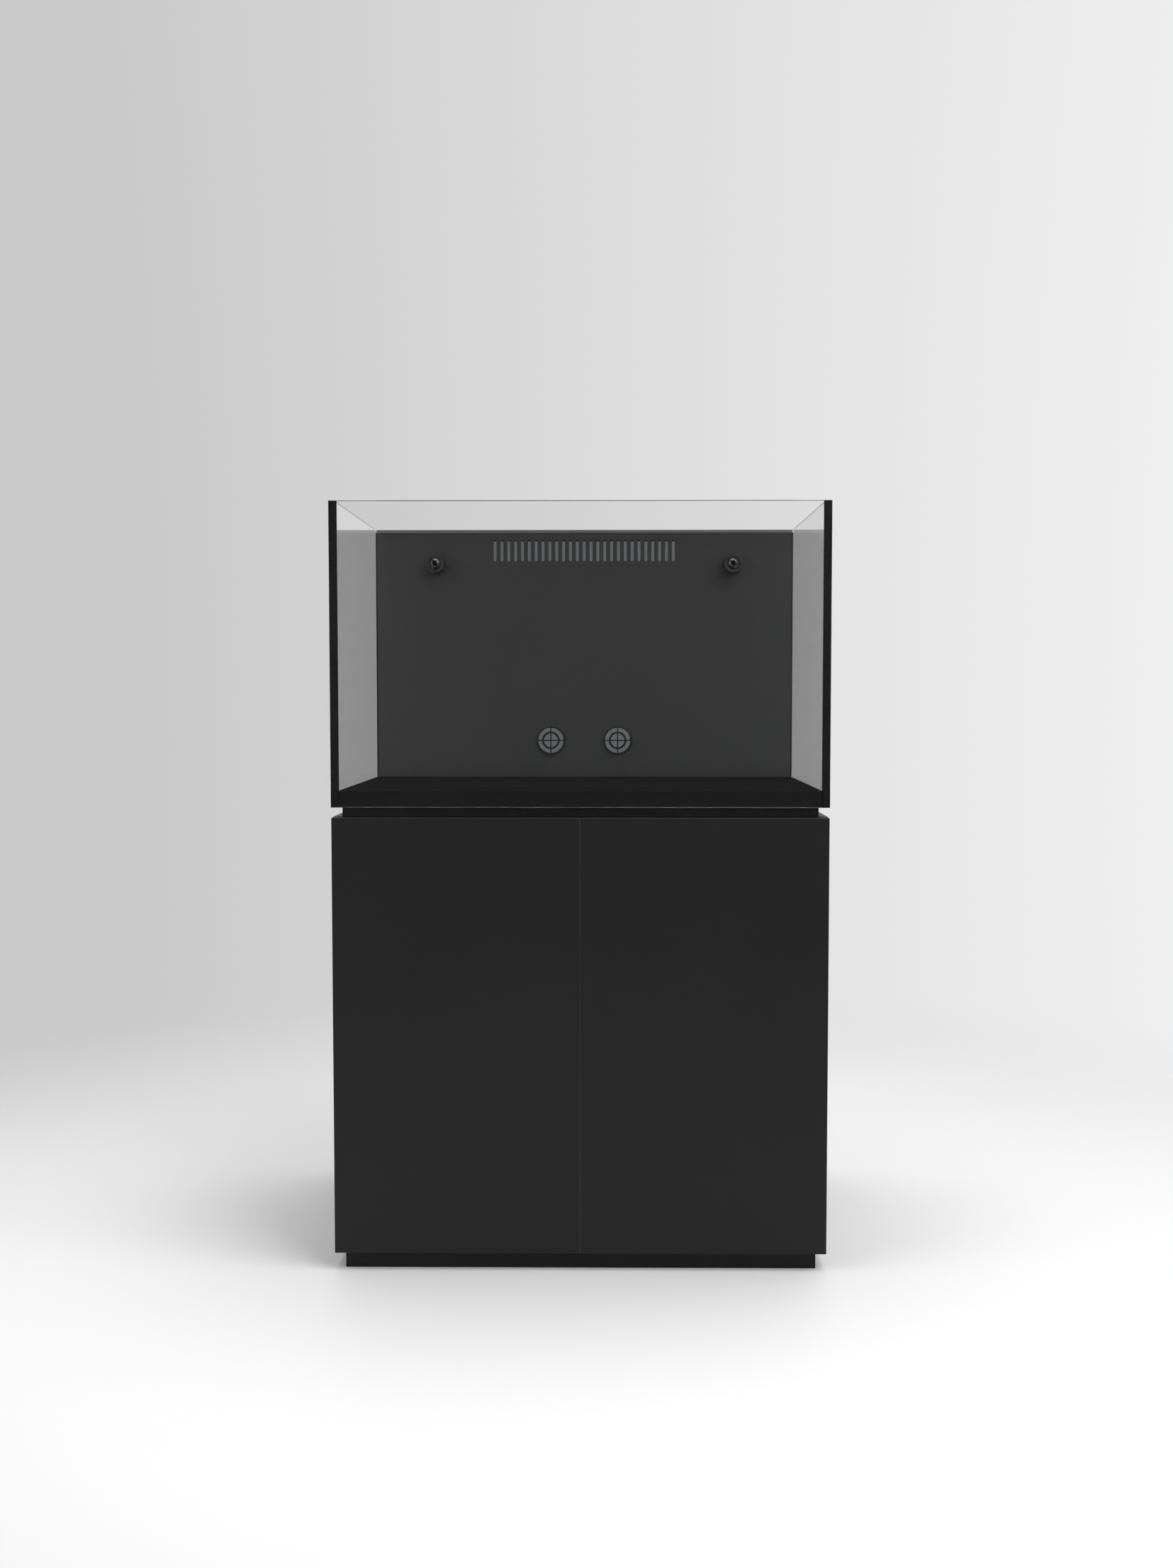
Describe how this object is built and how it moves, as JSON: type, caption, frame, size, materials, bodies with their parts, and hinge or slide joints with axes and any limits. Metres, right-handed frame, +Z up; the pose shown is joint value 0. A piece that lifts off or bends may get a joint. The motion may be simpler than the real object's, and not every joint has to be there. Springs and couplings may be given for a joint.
{
  "type": "aquarium on stand",
  "caption": "Rimless glass aquarium with a rear filter chamber, weir slots, strainers and swivelling return nozzles, on a black cabinet with handleless doors on concealed hinges.",
  "frame": {"origin": "centre of the footprint at floor level", "axes": "+Z up, -Y towards the front where the doors are, +X to the right as seen from the front"},
  "size_m": [0.9, 0.6, 1.4],
  "materials": {
    "clear_glass": "clear float glass with polished edges",
    "smoked_glass": "grey smoked glass",
    "black_silicone": "smooth cured silicone",
    "floor_acrylic": "black acrylic sheet",
    "mat_foam": "closed-cell foam",
    "partition_acrylic": "charcoal acrylic sheet",
    "lid_acrylic": "black acrylic sheet",
    "cassette_acrylic": "dark acrylic sheet",
    "floss": "white filter floss",
    "porous_ceramic": "porous sintered block",
    "sponge_foam": "coarse filter foam",
    "strainer_abs": "moulded, fine texture",
    "nozzle_abs": "moulded, satin",
    "ball_abs": "moulded, gloss",
    "seat_nylon": "natural nylon",
    "black_rubber": "matt rubber",
    "pipe_pvc": "grey extruded PVC",
    "pump_abs": "moulded, satin",
    "recess_laminate": "black melamine on board",
    "carcass_laminate": "black melamine on board",
    "back_board": "black hardboard",
    "door_laminate": "matt black laminate on board",
    "hinge_steel": "nickel-plated steel",
    "pin_steel": "zinc-plated steel",
    "grommet_abs": "moulded, fine texture"
  },
  "bodies": {
    "tank_and_cabinet": {"front_glass": "clear_glass", "back_glass": "smoked_glass", "left_glass": "clear_glass", "right_glass": "clear_glass", "bottom_glass": "clear_glass", "floor_panel": "floor_acrylic", "silicone_seams": "black_silicone", "levelling_mat": "mat_foam", "partition": "partition_acrylic", "top_rail": "partition_acrylic", "lid_ledge": "lid_acrylic", "chamber_baffles": "lid_acrylic", "left_strainer": "strainer_abs", "right_strainer": "strainer_abs", "left_nozzle_body": "nozzle_abs", "right_nozzle_body": "nozzle_abs", "nozzle_gaskets": "black_rubber", "nozzle_nuts": "nozzle_abs", "return_elbows": "nozzle_abs", "return_pipes": "pipe_pvc", "left_pump": "pump_abs", "right_pump": "pump_abs", "pump_feet": "black_rubber", "riser": "recess_laminate", "cabinet_top": "carcass_laminate", "cabinet_left_side": "carcass_laminate", "cabinet_right_side": "carcass_laminate", "cabinet_bottom": "carcass_laminate", "cabinet_back": "back_board", "centre_divider": "carcass_laminate", "left_shelf": "carcass_laminate", "right_shelf": "carcass_laminate", "shelf_pins": "pin_steel", "plinth": "recess_laminate", "hinge_arms": "hinge_steel", "hinge_plates": "hinge_steel", "door_bumpers": "black_rubber", "cable_grommets": "grommet_abs", "fixing_screws": "pin_steel"},
    "left_link": {"left_hinge_links": "hinge_steel"},
    "left_door": {"left_door": "door_laminate", "left_hinge_cups": "hinge_steel"},
    "right_link": {"right_hinge_links": "hinge_steel"},
    "right_door": {"right_door": "door_laminate", "right_hinge_cups": "hinge_steel"},
    "left_collar": {"left_collar": "nozzle_abs"},
    "right_collar": {"right_collar": "nozzle_abs"},
    "left_seat": {"left_seat_ring": "seat_nylon"},
    "right_seat": {"right_seat_ring": "seat_nylon"},
    "left_ball": {"left_ball": "ball_abs"},
    "right_ball": {"right_ball": "ball_abs"},
    "left_lid": {"left_lid": "lid_acrylic"},
    "right_lid": {"right_lid": "lid_acrylic"},
    "filter_cassette": {"cassette_cover": "lid_acrylic", "cassette_frame": "cassette_acrylic", "filter_floss": "floss", "filter_blocks": "porous_ceramic", "filter_sponge": "sponge_foam"},
    "left_impeller": {"left_impeller": "seat_nylon"},
    "right_impeller": {"right_impeller": "seat_nylon"}
  },
  "joints": [
    {"name": "left_link_pivot", "type": "hinge", "parent": "tank_and_cabinet", "child": "left_link", "pos_m": [-0.425, -0.28, 0.432], "axis": [0, 0, 1], "range_deg": [0, 50]},
    {"name": "left_door_hinge", "type": "hinge", "parent": "left_link", "child": "left_door", "pos_m": [-0.4392, -0.2831, 0.432], "axis": [0, 0, -1], "range_deg": [0, 144]},
    {"name": "left_collar_turn", "type": "hinge", "parent": "tank_and_cabinet", "child": "left_collar", "pos_m": [-0.311, 0.172, 1.326], "axis": [0, -1, 0], "range_deg": [0, 90]},
    {"name": "left_nozzle_turn", "type": "hinge", "parent": "tank_and_cabinet", "child": "left_seat", "pos_m": [-0.311, 0.172, 1.326], "axis": [0, -1, 0], "continuous": true},
    {"name": "left_nozzle_tilt", "type": "hinge", "parent": "left_seat", "child": "left_ball", "pos_m": [-0.311, 0.172, 1.326], "axis": [1, 0, 0], "range_deg": [-20, 20]},
    {"name": "left_lid_lift", "type": "slide", "parent": "tank_and_cabinet", "child": "left_lid", "axis": [0, 0, 1], "range_m": [0, 0.12]},
    {"name": "left_impeller_spin", "type": "hinge", "parent": "tank_and_cabinet", "child": "left_impeller", "pos_m": [-0.311, 0.243, 0.918], "axis": [1, 0, 0], "continuous": true},
    {"name": "right_link_pivot", "type": "hinge", "parent": "tank_and_cabinet", "child": "right_link", "pos_m": [0.425, -0.28, 0.432], "axis": [0, 0, -1], "range_deg": [0, 50]},
    {"name": "right_door_hinge", "type": "hinge", "parent": "right_link", "child": "right_door", "pos_m": [0.4392, -0.2831, 0.432], "axis": [0, 0, 1], "range_deg": [0, 144]},
    {"name": "right_collar_turn", "type": "hinge", "parent": "tank_and_cabinet", "child": "right_collar", "pos_m": [0.311, 0.172, 1.326], "axis": [0, -1, 0], "range_deg": [0, 90]},
    {"name": "right_nozzle_turn", "type": "hinge", "parent": "tank_and_cabinet", "child": "right_seat", "pos_m": [0.311, 0.172, 1.326], "axis": [0, -1, 0], "continuous": true},
    {"name": "right_nozzle_tilt", "type": "hinge", "parent": "right_seat", "child": "right_ball", "pos_m": [0.311, 0.172, 1.326], "axis": [1, 0, 0], "range_deg": [-20, 20]},
    {"name": "right_lid_lift", "type": "slide", "parent": "tank_and_cabinet", "child": "right_lid", "axis": [0, 0, 1], "range_m": [0, 0.12]},
    {"name": "right_impeller_spin", "type": "hinge", "parent": "tank_and_cabinet", "child": "right_impeller", "pos_m": [0.311, 0.243, 0.918], "axis": [1, 0, 0], "continuous": true},
    {"name": "cassette_lift", "type": "slide", "parent": "tank_and_cabinet", "child": "filter_cassette", "axis": [0, 0, 1], "range_m": [0, 0.4]}
  ],
  "couplings": [
    {"joint": "left_link_pivot", "follows": "left_door_hinge", "ratio": 0.34162},
    {"joint": "right_link_pivot", "follows": "right_door_hinge", "ratio": 0.34162}
  ]
}
